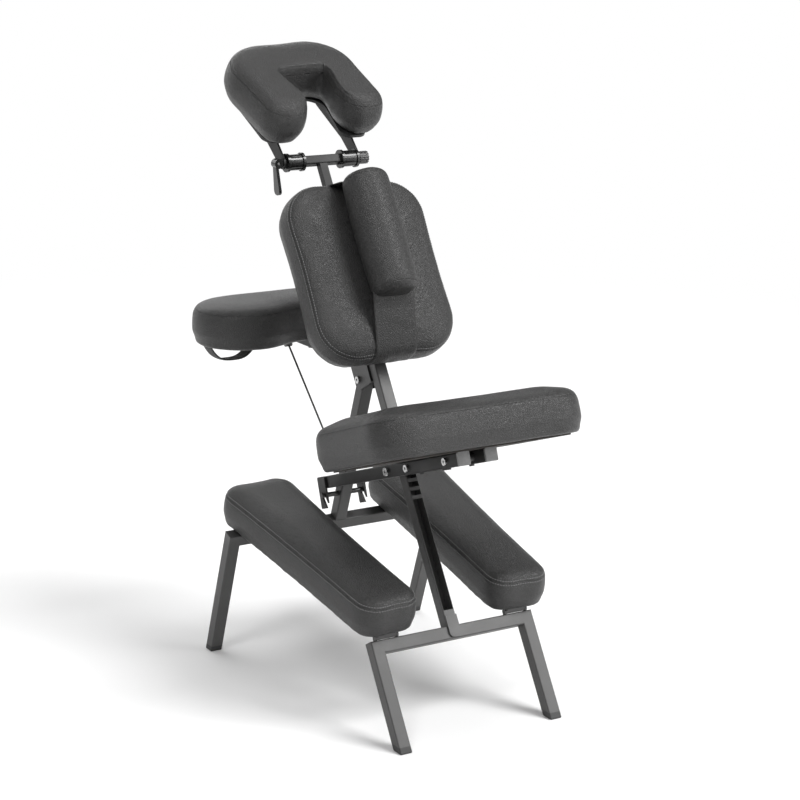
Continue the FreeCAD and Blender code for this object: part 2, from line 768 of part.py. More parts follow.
def seat_screws():
    screws = []
    for x, y in seat_screw_places():
        head = rod_z(SCREW_HEAD_R, -HALF - SCREW_HEAD, -HALF, x, y)
        screws.append(joined(rod_z(SCREW_R, -HALF, HALF + SCREW_BITE, x, y), head))
    return on_rail(Part.makeCompound(screws))


# Shin rests
def shin_outline(z, inset):
    corners = taper(SHIN_NEAR, SHIN_FAR, -SHIN_BACK, SHIN_LENGTH - SHIN_BACK)
    return outline(corners, (SHIN_CORNER,) * 4, z, inset, PAD_PULL)


def on_right_shin(shape):
    """Turn a rest outwards towards its front end and lay it on its hinge."""
    swung = shape.copy()
    swung.rotate(Vector(0, 0, 0), Vector(0, 0, 1), -SHIN_YAW)
    return on_shin(moved(swung, x=SHIN_X, z=SHIN_LIFT))


def shin_board():
    return on_right_shin(board(shin_outline))


def shin_pad():
    return on_right_shin(cushion(shin_outline, SHIN_THICK).cut(board(shin_outline)))


def shin_leaf():
    """Hinge leaf under the board, rolled round the hinge pin."""
    side = KNUCKLE_WIDTH / 2
    x0 = SHIN_X - side
    x1 = SHIN_X + side
    leaf = joined(rod_x(KNUCKLE_R, x0, x1),
                  block(x0, x1, -KNUCKLE_R, KNUCKLE_R, 0, SHIN_LIFT),
                  block(x0, x1, -KNUCKLE_R, LEAF_REACH, SHIN_LIFT - LEAF_THICK, SHIN_LIFT))
    return on_shin(leaf.cut(rod_x(HINGE_R + RUN, x0, x1)))


# Armrest and its stay
def arm_outline(z, inset):
    return bean(ARM_WIDTH, ARM_DEPTH, ARM_WAIST, z, inset)


def on_arm(shape):
    return moved(shape, y=ARM_CENTRE_Y, z=ARM_TOP)


def armrest_bar():
    tube = along_y(square_tube(ARM_BAR, WALL, ARM_Y - ARM_BAR_OVER, ARM_BAR_END))
    side = BRACKET_IN - GAP
    sleeve = rod_x(ARM_R + SLEEVE_WALL, -side, side, ARM_Y, ARM_Z)
    cuts = [rod_x(ARM_R + RUN, -TUBE, TUBE, ARM_Y, ARM_Z)]
    cuts += [rod_z(SCREW_R + RUN, ARM_UNDER, ARM_TOP, 0, y) for y in ARM_SCREWS]
    return joined(moved(tube, z=ARM_Z), sleeve).cut(cuts)


def armrest_board():
    holes = [rod_z(SCREW_R + RUN, ARM_UNDER, ARM_TOP + SCREW_BITE, 0, y) for y in ARM_SCREWS]
    return on_arm(board(arm_outline)).cut(holes)


def armrest_pad():
    return on_arm(cushion(arm_outline, ARM_THICK).cut(board(arm_outline)))


def armrest_screws():
    screws = []
    for y in ARM_SCREWS:
        head = rod_z(SCREW_HEAD_R, ARM_UNDER - SCREW_HEAD, ARM_UNDER, 0, y)
        screws.append(joined(rod_z(SCREW_R, ARM_UNDER, ARM_TOP + SCREW_BITE, 0, y), head))
    return Part.makeCompound(screws)


def hand_straps():
    """Webbing loops that hang under the two lobes of the armrest."""
    radius = (HAND_LOOP ** 2 / 4 + HAND_SAG ** 2) / (2 * HAND_SAG)
    middle = ARM_TOP - HAND_SAG + radius
    y0 = ARM_CENTRE_Y - HAND_WIDTH / 2
    y1 = ARM_CENTRE_Y + HAND_WIDTH / 2
    loop = rod_y(radius + HAND_THICK / 2, y0, y1, HAND_X, middle)
    loop = loop.cut(rod_y(radius - HAND_THICK / 2, y0, y1, HAND_X, middle))
    return both_sides(loop.common(block(0, BIG, -BIG, BIG, 0, ARM_TOP)))


def stay_lug():
    """Fork under the front end of the bar, with the pin that the stay swings on."""
    inner = STAY_EYE_WIDTH / 2 + GAP
    outer = inner + LUG_EAR
    y0 = STAY_Y - STAY_EYE_R
    y1 = STAY_Y + STAY_EYE_R
    base = block(-outer, outer, y0, y1, ARM_UNDER - LUG_EAR, ARM_UNDER)
    ear = joined(block(inner, outer, y0, y1, STAY_Z, ARM_UNDER),
                 rod_x(STAY_EYE_R, inner, outer, STAY_Y, STAY_Z))
    return joined(base, ear, mirrored(ear), rod_x(STAY_PIN_R, -outer, outer, STAY_Y, STAY_Z))


def armrest_stay():
    """Thin rod from the armrest down to the strut, with an eye above and a ball below."""
    side = STAY_EYE_WIDTH / 2
    top = Vector(0, STAY_Y, STAY_Z)
    low = Vector(0, FOOT_Y, FOOT_Z)
    shank = Part.makeCylinder(STAY_R, (low - top).Length, top, low - top)
    stay = joined(rod_x(STAY_EYE_R, -side, side, STAY_Y, STAY_Z), shank, Part.makeSphere(STAY_FOOT_R, low))
    return stay.cut(rod_x(STAY_PIN_R + RUN, -side, side, STAY_Y, STAY_Z))


# Head post and clamp
def post_sleeve():
    """Plastic bush in the mast's mouth that the head post slides in."""
    inner = HALF - WALL
    hole = POST / 2 + POST_PLAY
    bush = joined(square_bar(TUBE, MAST_TOP, MAST_TOP + SLEEVE_RIM, TUBE_CORNER),
                  block(-inner, inner, -inner, inner, MAST_TOP - SLEEVE_DEPTH, MAST_TOP))
    bore = block(-hole, hole, -hole, hole, MAST_TOP - SLEEVE_DEPTH, MAST_TOP + SLEEVE_RIM)
    return on_mast(bush.cut(bore))


def head_post():
    """Post with a cross tube welded over its top."""
    bar = moved(along_x(square_tube(T_BAR, WALL, -T_HALF, T_HALF)), z=AXLE_S)
    stem = block(-POST / 2, POST / 2, -POST / 2, POST / 2, POST_FOOT, AXLE_S - T_BAR / 2)
    return on_mast(joined(bar, stem))


def post_collars():
    """Plastic collars at the ends of the cross tube, with a rim at each end."""
    collar = joined(rod_x(COLLAR_R, T_HALF, COLLAR_END),
                    rod_x(COLLAR_RIM_R, T_HALF, T_HALF + COLLAR_RIM),
                    rod_x(COLLAR_RIM_R, COLLAR_END - COLLAR_RIM, COLLAR_END))
    return on_axle(both_sides(collar.cut(rod_x(AXLE_R + RUN, T_HALF, COLLAR_END))))


def clamp_axle():
    """Skewer through the cross tube, with a cross pin for the cam lever."""
    rod = rod_x(AXLE_R, CAM_X - AXLE_R, KNOB_X + KNOB_LENGTH - AXLE_END - GAP)
    return on_axle(joined(rod, rod_y(CROSS_PIN_R, -CAM_WIDTH / 2, CAM_WIDTH / 2, CAM_X)))


def cam_lever():
    """Leaf-shaped lever with a forked cam head round the end of the skewer."""
    side = CAM_WIDTH / 2
    slot = AXLE_R + GAP
    clear = math.hypot(slot, slot) + GAP
    corners = ((-LEVER_WIDTH / 2, -LEVER_LENGTH), (LEVER_WIDTH / 2, -LEVER_LENGTH),
               (LEVER_NECK / 2, -slot), (-LEVER_NECK / 2, -slot))
    rounds = (LEVER_TIP, LEVER_TIP, MIN_CORNER, MIN_CORNER)
    blade = slab_x(corners, rounds, CAM_X - LEVER_THICK, CAM_X)
    blade.rotate(Vector(CAM_X, 0, 0), Vector(0, 1, 0), LEVER_LEAN)
    cam = rod_y(CAM_R, -side, side, CAM_X + CAM_OFFSET)
    lever = joined(cam, blade)
    cuts = [block(CAM_X - slot, 0, -slot, slot, -slot, TUBE), rod_y(clear, -slot, slot, CAM_X),
            rod_y(CROSS_PIN_R + RUN, -TUBE, TUBE, CAM_X)]
    return on_axle(lever.cut(cuts))


def clamp_knob():
    """Grooved knob on the other end of the skewer."""
    knob = rod_x(KNOB_R, KNOB_X, KNOB_X + KNOB_LENGTH)
    grooves = []
    for index in range(KNOB_GROOVES):
        angle = 2 * math.pi * index / KNOB_GROOVES
        y = KNOB_R * math.cos(angle)
        z = KNOB_R * math.sin(angle)
        grooves.append(rod_x(KNOB_GROOVE_R, KNOB_X, KNOB_X + KNOB_LENGTH, y, z))
    bore = rod_x(AXLE_R + RUN, KNOB_X, KNOB_X + KNOB_LENGTH - AXLE_END)
    return on_axle(knob.cut(grooves + [bore]))


# Face cradle
def cradle_arm():
    """Flat arm from its eye on the skewer up to a flange under the cradle plate."""
    top = CRADLE_W - CRADLE_PLATE
    low = top - ARM_HEIGHT
    corners = ((0, -ARM_EYE_R), (ARM_FROM + ARM_HEIGHT, low), (ARM_TO, low), (ARM_TO, top),
               (ARM_FROM, top), (0, ARM_EYE_R))
    rounds = (MIN_CORNER, ARM_HEIGHT, ARM_END_ROUND, MIN_CORNER, ARM_HEIGHT, MIN_CORNER)
    x1 = ARM_IN + ARM_PLATE
    flange = block(x1 - FLANGE, x1, ARM_FROM + ARM_HEIGHT, ARM_TO, top - FLANGE_THICK, top)
    arm = joined(slab_x(corners, rounds, ARM_IN, x1), rod_x(ARM_EYE_R, ARM_IN, x1), flange)
    return arm.cut(rod_x(AXLE_R + RUN, ARM_IN, x1))


def cradle_arm_right():
    return on_cradle(cradle_arm())


def cradle_arm_left():
    arm = moved(mirrored(cradle_arm()), x=-LINK_PLATE)
    return on_cradle(arm.cut(rod_x(RIVET_R + RUN, -BIG, 0, *RIVET)))


def cradle_link():
    """Narrow link beside the left arm, riveted to it."""
    length = math.hypot(*RIVET)
    rise = math.degrees(math.atan2(RIVET[1], RIVET[0]))
    x0 = -ARM_IN - LINK_PLATE
    bar = block(x0, -ARM_IN, 0, length, -LINK_EYE_R / 2, LINK_EYE_R / 2)
    link = joined(turned(bar, rise), rod_x(LINK_EYE_R, x0, -ARM_IN),
                  rod_x(LINK_EYE_R / 2, x0, -ARM_IN, *RIVET))
    outer = x0 - ARM_PLATE
    rivet = joined(rod_x(RIVET_R, outer, -ARM_IN, *RIVET),
                   rod_x(RIVET_R + RIVET_HEAD, outer - RIVET_HEAD, outer, *RIVET))
    return on_cradle(joined(link.cut(rod_x(AXLE_R + RUN, x0, -ARM_IN)), rivet))


def face_outline(z, inset):
    side = FACE_WIDTH / 2
    half = FACE_DEPTH / 2
    tucked = side - FACE_TUCK
    mouth = FACE_MOUTH / 2
    inner = FACE_MOUTH_BACK / 2
    wall = FACE_MOUTH_DEPTH - half
    corners = ((mouth, -half), (tucked, -half), (side, half), (-side, half), (-tucked, -half), (-mouth, -half),
               (-inner, wall), (inner, wall))
    rounds = (FACE_LOBE, FACE_LOBE, FACE_CROWN, FACE_CROWN, FACE_LOBE, FACE_LOBE, FACE_INNER, FACE_INNER)
    return outline(corners, rounds, z, inset)


def cradle_plate():
    face = Part.Face(face_outline(CRADLE_W - CRADLE_PLATE, BOARD_INSET))
    return on_cradle(moved(face.extrude(Vector(0, 0, CRADLE_PLATE)), y=CRADLE_Q))


def face_cushion():
    """Horseshoe cushion, open towards the chest rest."""
    pad = cushion(face_outline, FACE_THICK, profile=FACE_PROFILE)
    return on_cradle(moved(pad, y=CRADLE_Q, z=CRADLE_W))


def build():
    """All sub-parts by name, before the chair is centred over the origin."""
    rail = seat_rail()
    rear_leg = leg(REAR_HALF, REAR_BAR_S, on_mast)
    front_leg = leg(FRONT_HALF, FRONT_BAR_S, on_front)
    parts = {
        "rear_crossbar": on_mast(crossbar(REAR_HALF, REAR_BAR_S)),
        "rear_leg_left": mirrored(rear_leg),
        "rear_leg_right": rear_leg,
        "rear_feet": both_sides(foot(REAR_HALF, on_mast)),
        "front_crossbar": on_front(crossbar(FRONT_HALF, FRONT_BAR_S)),
        "front_leg_left": mirrored(front_leg),
        "front_leg_right": front_leg,
        "front_feet": both_sides(foot(FRONT_HALF, on_front)),
        "fold_bolt": bolt_x(FOLD_R, BRACKET_OUT, FOLD_Y, FOLD_Z),
        "armrest_pivot_bolt": bolt_x(ARM_R, BRACKET_OUT, ARM_Y, ARM_Z),
        "seat_pivot_bolt": bolt_x(PIVOT_R, RAIL_OUT + GAP, PIVOT_Y, PIVOT_Z),
        "seat_rail_left": mirrored(rail),
        "seat_rail_right": rail,
    }
    for make in (mast_tube, mast_tie_plate, fold_bracket, shin_hinge_lugs, shin_hinge_pins, chest_plates,
                 chest_board, chest_pad, chest_screws, sternum_strap, sternum_roll, front_strut, catch_pin, stay_clip,
                 rail_end_caps, pivot_washers, rail_bolts, rail_spacers, catch_hooks, seat_board, seat_pad,
                 seat_screws, armrest_bar, armrest_board, armrest_pad, armrest_screws, hand_straps, stay_lug,
                 armrest_stay, post_sleeve, head_post, post_collars, clamp_axle, cam_lever, clamp_knob,
                 cradle_arm_left, cradle_arm_right, cradle_link, cradle_plate, face_cushion):
        parts[make.__name__] = make()
    for make in (shin_board, shin_pad, shin_leaf):
        right = make()
        parts[make.__name__ + "_right"] = right
        parts[make.__name__ + "_left"] = mirrored(right)
    return parts


PARTS = build()
BOUNDS = Part.makeCompound(list(PARTS.values())).optimalBoundingBox(False, False)
SHIFT_Y = -(BOUNDS.YMin + BOUNDS.YMax) / 2

os.makedirs("parts", exist_ok=True)
for node, solid in PARTS.items():
    moved(solid, y=SHIFT_Y).exportStep(f"parts/{node}.step")

AXES = {"fold": (FOLD_Y, FOLD_Z), "seat": (PIVOT_Y, PIVOT_Z), "shin": (HINGE_Y, HINGE_Z),
        "armrest": (ARM_Y, ARM_Z), "stay": (STAY_Y, STAY_Z), "axle": (AXLE_Y, AXLE_Z)}
print(f"{len(PARTS)} parts, {BOUNDS.XLength:.1f} x {BOUNDS.YLength:.1f} x {BOUNDS.ZLength:.1f}")
for name, (y, z) in AXES.items():
    print(f"{name} axis at y {y + SHIFT_Y:.4f} z {z:.4f}")
print(f"cam lever at x {CAM_X:.4f}, shin slope {SHIN_SLOPE:.4f}, spread {SPREAD:.4f}, shift {SHIFT_Y:.4f}")
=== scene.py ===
# %% [markdown]
# # Dressing a folding massage chair
# The chair is two hinged frames of square tube that carry a kneeling seat, two shin rests, a chest
# rest with a sternum bolster, an armrest and a horseshoe face cradle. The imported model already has
# every tube, bolt and board in its place. This lesson gives those their finishes and swaps the plain
# pads for upholstered ones.

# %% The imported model
import json
import math

import bmesh
import bpy
from mathutils import Matrix, Vector, noise
from mathutils.geometry import convex_hull_2d


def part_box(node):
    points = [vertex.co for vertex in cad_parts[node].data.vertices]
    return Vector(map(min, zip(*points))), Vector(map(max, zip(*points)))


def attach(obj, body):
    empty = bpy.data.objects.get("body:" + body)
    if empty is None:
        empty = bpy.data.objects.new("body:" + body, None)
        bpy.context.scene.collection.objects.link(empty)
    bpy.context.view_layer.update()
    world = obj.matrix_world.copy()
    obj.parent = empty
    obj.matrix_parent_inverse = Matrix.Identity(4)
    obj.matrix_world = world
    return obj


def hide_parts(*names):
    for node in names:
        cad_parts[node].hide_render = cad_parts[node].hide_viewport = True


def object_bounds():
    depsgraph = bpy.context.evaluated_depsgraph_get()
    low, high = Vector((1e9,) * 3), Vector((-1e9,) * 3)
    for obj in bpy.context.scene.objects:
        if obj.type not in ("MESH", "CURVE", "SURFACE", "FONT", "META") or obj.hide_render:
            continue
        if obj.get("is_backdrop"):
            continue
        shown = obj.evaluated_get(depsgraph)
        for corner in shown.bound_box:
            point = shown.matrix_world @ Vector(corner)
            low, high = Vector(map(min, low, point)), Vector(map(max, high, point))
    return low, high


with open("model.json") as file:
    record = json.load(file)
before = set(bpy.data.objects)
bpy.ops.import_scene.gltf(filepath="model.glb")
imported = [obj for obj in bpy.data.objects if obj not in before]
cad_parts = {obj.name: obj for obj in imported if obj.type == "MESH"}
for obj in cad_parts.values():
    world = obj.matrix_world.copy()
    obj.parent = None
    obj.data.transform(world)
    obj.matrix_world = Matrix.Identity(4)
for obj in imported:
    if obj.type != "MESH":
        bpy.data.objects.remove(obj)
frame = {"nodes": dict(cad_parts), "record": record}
nodes = frame["nodes"]
record = frame["record"]
scene = bpy.context.scene
cad_low, cad_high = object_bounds()
print(len(nodes), "nodes in a box of", [round(side, 3) for side in cad_high - cad_low])

# %% [markdown]
# ## The camera
# A photograph fixes the camera's place, direction and focal length together. These numbers were
# fitted to the straight tubes, whose ends are known in the model, so the render lies over the photo
# without moving the chair.

# %% The camera
CAMERA_PLACE = (-1.927, -3.4166, 1.5296)
CAMERA_AZIMUTH = -30.10
CAMERA_ELEVATION = 13.98
PHOTO_SIDE = 800
PHOTO_FOCAL = 2085
SENSOR = 36.0

eye = bpy.data.cameras.new("photo_eye")
eye.sensor_width = SENSOR
eye.lens = PHOTO_FOCAL * SENSOR / PHOTO_SIDE
camera = bpy.data.objects.new("photo_eye", eye)
camera.location = CAMERA_PLACE
camera.rotation_euler = (math.radians(90 - CAMERA_ELEVATION), 0, math.radians(CAMERA_AZIMUTH))
scene.collection.objects.link(camera)
scene.camera = camera
print("lens", round(eye.lens, 1), "mm")

# %% [markdown]
# ## Light and floor
# Dark leather is drawn by what it reflects, so the light is an even room, one broad key from the
# right of the camera, softboxes that leave long highlights on the rounded edges, and a pale panel
# behind that shows in the tops of the pads. The floor runs far back, which keeps the horizon out of
# the frame.

# %% Light and floor
FLOOR_SIDE = 120.0
ROOM_LIGHT = 0.25
# name, kind, place, what it looks at, power, and the panel's sides or the sun's angle
LAMPS = (
    ("key", "SUN", (1.9, -2.6, 4.2), (0, 0, 0.5), 1.9, 25),
    ("right_softbox", "AREA", (2.4, -2.6, 1.9), (0, 0, 0.6), 55, (1.2, 2.0)),
    ("left_softbox", "AREA", (-2.4, -1.8, 3.6), (0, 0, 0.8), 36, (0.8, 1.6)),
    ("top_softbox", "AREA", (0.2, 0.3, 5.0), (0, 0, 0.6), 80, (3.0, 3.0)),
    ("back_panel", "AREA", (0.0, 5.0, 2.6), (0, 0, 0.6), 75, (6.0, 2.4)),
)
scene.view_settings.view_transform = "Standard"


def new_piece(name, shape):
    """Turn a finished bmesh into an object at the origin."""
    mesh = bpy.data.meshes.new(name)
    shape.to_mesh(mesh)
    shape.free()
    piece = bpy.data.objects.new(name, mesh)
    scene.collection.objects.link(piece)
    return piece


def lamp(name, kind, place, aim, power, size):
    """A sun or a softbox that looks from its place at the aim."""
    light = bpy.data.lights.new(name, kind)
    light.energy = power
    if kind == "AREA":
        light.shape = "RECTANGLE"
        light.size, light.size_y = size
    else:
        light.angle = math.radians(size)
    holder = bpy.data.objects.new(name, light)
    holder.location = place
    holder.rotation_euler = (Vector(aim) - Vector(place)).to_track_quat("-Z", "Y").to_euler()
    scene.collection.objects.link(holder)


world = bpy.data.worlds.new("room")
world.use_nodes = True
world.node_tree.nodes["Background"].inputs["Color"].default_value = (1, 1, 1, 1)
world.node_tree.nodes["Background"].inputs["Strength"].default_value = ROOM_LIGHT
scene.world = world
for facts in LAMPS:
    lamp(*facts)

shape = bmesh.new()
bmesh.ops.create_grid(shape, x_segments=2, y_segments=2, size=FLOOR_SIDE / 2)
floor = new_piece("floor", shape)
floor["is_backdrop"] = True
print(len(LAMPS), "lamps over a floor", FLOOR_SIDE, "m wide")

# %% [markdown]
# ## Shader maths in Python
# A finish is a small calculation over the surface. Wrapping a node's output in a class lets the
# calculation be written as an expression, and each operator adds the Math node that it stands for.


# %% Shader maths
class Wire:
    """One output of a node, which can be added, multiplied and mixed like a number."""

    def __init__(self, tree, socket):
        self.tree = tree
        self.socket = socket

    def feed(self, target, value):
        """Link a wire to a socket, or set a plain value there."""
        if isinstance(value, Wire):
            self.tree.links.new(value.socket, target)
        else:
            target.default_value = value

    def node(self, kind, settings, inputs, output=0):
        """Any node: its type, its settings, then the values or wires of its sockets."""
        made = self.tree.nodes.new(kind)
        for name, value in settings.items():
            setattr(made, name, value)
        for name, value in inputs.items():
            self.feed(made.inputs[name], value)
        return Wire(self.tree, made.outputs[output])

    def math(self, operation, *values):
        return self.node("ShaderNodeMath", {"operation": operation}, dict(enumerate(values)))

    def vector(self, operation, *values):
        return self.node("ShaderNodeVectorMath", {"operation": operation}, dict(enumerate(values)))

    def mix(self, low, high):
        """Colour between low and high, by this value."""
        inputs = {"Factor": self, 6: low, 7: high}
        return self.node("ShaderNodeMix", {"data_type": "RGBA"}, inputs, 2)

    def noise(self, scale, detail=2.0):
        inputs = {"Vector": self, "Scale": scale, "Detail": detail}
        return self.node("ShaderNodeTexNoise", {}, inputs)

    def cells(self, scale, feature="F1"):
        inputs = {"Vector": self, "Scale": scale}
        return self.node("ShaderNodeTexVoronoi", {"feature": feature}, inputs)

    def step(self, low, high):
        """Smooth step from 0 at low to 1 at high."""
        inputs = {"Value": self, "From Min": low, "From Max": high}
        return self.node("ShaderNodeMapRange", {"interpolation_type": "SMOOTHSTEP"}, inputs)

    def __add__(self, other):
        return self.math("ADD", self, other)

    def __sub__(self, other):
        return self.math("SUBTRACT", self, other)

    def __rsub__(self, other):
        return self.math("SUBTRACT", other, self)

    def __mul__(self, other):
        return self.math("MULTIPLY", self, other)

    __radd__ = __add__
    __rmul__ = __mul__


def new_finish(name, fixed):
    """A material with its fixed values set, its shader, and the wire of Object coordinates."""
    material = bpy.data.materials.new(name)
    material.use_nodes = True
    tree = material.node_tree
    shader = tree.nodes["Principled BSDF"]
    for socket, value in fixed.items():
        shader.inputs[socket].default_value = value
    return material, shader, Wire(tree, tree.nodes.new("ShaderNodeTexCoord").outputs["Object"])


def varied(shader, place, inputs, height, depth):
    """Feed the values that change over the surface, and a bump of that depth in metres."""
    for socket, value in inputs.items():
        place.feed(shader.inputs[socket], value)
    bump = place.node("ShaderNodeBump", {}, {"Height": height, "Distance": depth, "Strength": 1.0})
    place.feed(shader.inputs["Normal"], bump)


def grey(value, warm=0.0):
    """A grey, or one that leans a little to warm."""
    return (value * (1 + warm), value, value * (1 - warm), 1)


print("wires ready")

# %% [markdown]
# ## Grained leather
# The pads are covered in black coated leather with a pebble grain of about three millimetres. Cells
# measured to their edges give pebbles with creases between them, and a little noise in the
# coordinates keeps the cells from looking like a honeycomb. The creases are rougher, and they are
# painted darker as the shade that falls in them.

# %% Grained leather
PEBBLE = 1 / 0.0030         # pebbles in a metre
SWAY = 0.0008               # how far a cell's edge wanders, in metres
SWAY_SCALE = 260.0
PORE_SCALE = 2600.0
FOLD_SCALE = 38.0
PATCH_SCALE = 7.0
CREASE_SHARE = 0.28         # of a cell, from its edge to the pebble's top
LEATHER_DEPTH = 0.00065


def leather_finish():
    """Pebbles with creases painted dark as shade, fine pores, slow folds and patches of wear."""
    material, shader, place = new_finish("grained_leather", {"Specular IOR Level": 0.5})
    sway = place.node("ShaderNodeTexNoise", {}, {"Vector": place, "Scale": SWAY_SCALE, "Detail": 1.0}, 1)
    sway = place.node("ShaderNodeVectorMath", {"operation": "SCALE"}, {0: sway, "Scale": SWAY})
    bent = place.vector("ADD", place, sway)
    pebble = bent.cells(PEBBLE, "DISTANCE_TO_EDGE").step(0.0, CREASE_SHARE)
    pores = place.noise(PORE_SCALE, 1.0)
    folds = place.noise(FOLD_SCALE, 3.0)
    patches = place.noise(PATCH_SCALE, 3.0)
    # painted shade: the creases between the pebbles are darker in colour; the patches are tone that
    # differs at random
    tone = (pebble * 0.55 + patches * 0.45).mix(grey(0.016, 0.01), grey(0.040, 0.01))
    rough = 0.39 - pebble * 0.08 + patches * 0.10
    height = pebble * 0.75 + pores * 0.15 + folds * 0.3
    varied(shader, place, {"Base Color": tone, "Roughness": rough}, height, LEATHER_DEPTH)
    return material


leather = leather_finish()
print("leather pebble", round(1000 / PEBBLE, 1), "mm")

# %% [markdown]
# ## Powder-coated tube
# Powder coat melts into a skin with a faint orange peel. The grey is a little lighter than the
# leather, and rubbed patches are slightly smoother where the frame is handled. The finish is made in
# two shades. The nearly black one is a darker coat on the head's tubes, and painted shade on the seat
# rails, the catch hooks and the armrest's bar, which sit in the shadow under the pads.

# %% Powder coat
PEEL = 700.0
PEEL_DEPTH = 0.00012
SPECK_SCALE = 2400.0
RUB_SCALE = 9.0


def powder_finish(name, dark, light, shine):
    """A coat between two greys, with orange peel, fine specks and rubbed patches."""
    material, shader, place = new_finish(name, {"Specular IOR Level": shine})
    peel = place.noise(PEEL, 2.0)
    speck = place.noise(SPECK_SCALE, 1.0).step(0.60, 0.74)
    rubbed = place.noise(RUB_SCALE, 4.0).step(0.45, 0.75)
    tone = (rubbed * 0.5 + speck * 0.3).mix(grey(dark, 0.01), grey(light, 0.01))
    rough = 0.46 - rubbed * 0.10 + speck * 0.08
    varied(shader, place, {"Base Color": tone, "Roughness": rough}, peel, PEEL_DEPTH)
    return material


powder = powder_finish("powder_coat", 0.060, 0.095, 0.5)
# a darker copy of the coat: painted shade on the parts under the seat and the armrest, a darker coat on
# the post and cradle arms
dark_coat_and_shade = powder_finish("dark_coat_and_painted_shade", 0.014, 0.024, 0.3)
print("orange peel", round(1000 / PEEL, 1), "mm")

# %% [markdown]
# ## Fittings
# Bolts are zinc plated, the clamp and its collars are glossy black plastic, the feet are dull
# rubbery plastic and the rail ends have pale grey caps. Pins, spacers, the stay and the screws under
# the pads are blackened. Each gets the fine texture that its making leaves: turning marks, mould
# grain or scuffs.

# %% Fittings
SCUFF_SCALE = 60.0
WOOD_GRAIN = (30.0, 420.0, 420.0)
WEAVE = 4200.0


def fitting_finish(name, dark, light, rough, grain, depth, fixed):
    """A moulded or plated part: two tones, uneven roughness and a fine grain."""
    material, shader, place = new_finish(name, fixed)
    fine = place.noise(grain, 2.0)
    scuff = place.noise(SCUFF_SCALE, 4.0).step(0.35, 0.75)
    tone = (scuff * 0.7 + fine * 0.3).mix(grey(dark), grey(light))
    varied(shader, place, {"Base Color": tone, "Roughness": rough + scuff * 0.08}, fine, depth)
    return material


def board_finish():
    """Plywood stained almost black: long grain along the board, closed with a dull lacquer."""
    material, shader, place = new_finish("stained_board", {})
    long_way = place.vector("MULTIPLY", place, WOOD_GRAIN)
    grain = long_way.noise(1.0, 5.0)
    tone = grain.mix((0.014, 0.012, 0.010, 1), (0.036, 0.030, 0.025, 1))
    varied(shader, place, {"Base Color": tone, "Roughness": 0.62 + grain * 0.15}, grain, 0.0002)
    return material


def webbing_finish():
    """Plain weave: two sets of ribs that cross, each a millimetre and a half wide."""
    material, shader, place = new_finish("woven_strap", {})
    split = {"Vector": place}
    across = place.node("ShaderNodeSeparateXYZ", {}, split, 0) * WEAVE
    along = place.node("ShaderNodeSeparateXYZ", {}, split, 1) * WEAVE
    weave = across.math("SINE", across) * along.math("SINE", along) * 0.5 + 0.5
    fuzz = place.noise(1800.0, 2.0)
    tone = (weave * 0.6 + fuzz * 0.4).mix(grey(0.016), grey(0.045))
    rough = 0.55 + fuzz * 0.2
    varied(shader, place, {"Base Color": tone, "Roughness": rough}, weave + fuzz * 0.4, 0.0003)
    return material


def thread_finish():
    """Twisted sewing thread, a shade lighter than the leather so that the rows show."""
    material, shader, place = new_finish("sewing_thread", {})
    twist = place.noise(2200.0, 2.0)
    tone = twist.mix(grey(0.13), grey(0.28))
    varied(shader, place, {"Base Color": tone, "Roughness": 0.5 + twist * 0.2}, twist, 0.0002)
    return material


zinc = fitting_finish("zinc_plate", 0.48, 0.66, 0.24, 900.0, 0.00004, {"Metallic": 1.0})
black_plastic = fitting_finish("gloss_plastic", 0.008, 0.016, 0.16, 500.0, 0.00003, {"Coat Weight": 0.2})
foot_plastic = fitting_finish("foot_plastic", 0.022, 0.045, 0.55, 1400.0, 0.00012, {})
cap_plastic = fitting_finish("cap_plastic", 0.17, 0.26, 0.42, 1400.0, 0.0001, {})
black_zinc = fitting_finish("black_zinc", 0.030, 0.055, 0.34, 900.0, 0.00004, {})
thread = thread_finish()
finishes = {
    "powder_coat": powder,
    "leather": leather,
    "board": board_finish(),
    "zinc": zinc,
    "black_plastic": black_plastic,
    "foot_plastic": foot_plastic,
    "cap_plastic": cap_plastic,
    "webbing": webbing_finish(),
}
# the nearly black coat: painted shade on the rails, hooks and armrest bar under the pads, a darker coat
# on the head's tubes
DARK_COAT_AND_SHADE_PARTS = ("head_post", "cradle_arm_left", "cradle_arm_right", "catch_hooks",
                "seat_rail_left", "seat_rail_right", "armrest_bar")
BLACKENED = ("catch_pin", "rail_spacers", "cradle_link", "shin_hinge_pins", "seat_screws",
             "armrest_screws", "armrest_stay")
shaded = {name: dark_coat_and_shade for name in DARK_COAT_AND_SHADE_PARTS}
shaded.update({name: black_zinc for name in BLACKENED})
shaded["cradle_plate"] = foot_plastic
for part in record["subparts"]:
    node = nodes[part["node"]]
    node.data.materials.clear()
    node.data.materials.append(shaded.get(part["node"], finishes[part["material_slot"]]))
print(len(finishes), "finishes on", len(record["subparts"]), "nodes")

# %% [markdown]
# ## A white ground
# Near the chair the floor is a pale surface that takes the shadow. Further out it fades to plain
# white for the camera and for reflections, so the background is white without more light on the
# chair.

# %% A white ground
FADE_START = 2.0            # metres from the chair's middle
FADE_END = 4.5


